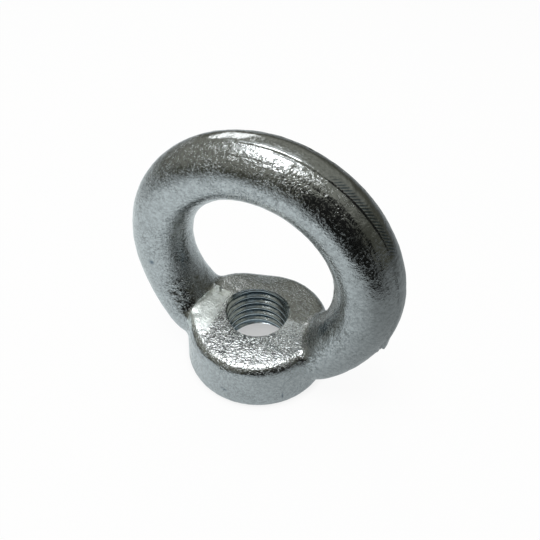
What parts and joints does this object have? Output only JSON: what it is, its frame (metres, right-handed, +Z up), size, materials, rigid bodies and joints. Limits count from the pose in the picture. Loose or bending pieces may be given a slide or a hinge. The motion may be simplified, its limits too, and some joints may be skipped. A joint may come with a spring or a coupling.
{
  "type": "lifting eye nut",
  "caption": "Forged lifting eye nut: a round bar ring standing on a short round boss with a tapped hole through it.",
  "frame": {"origin": "centre of the flat seat under the boss, on the axis of the thread", "axes": "+Z up the thread axis towards the crown of the eye, +X across the width of the eye, +Y through the eye"},
  "size_m": [0.0725, 0.041, 0.0675],
  "materials": {
    "zinc_steel": "bright zinc plate over an as-forged, finely grained skin"
  },
  "bodies": {
    "root": {"eye_nut": "zinc_steel"}
  },
  "joints": []
}
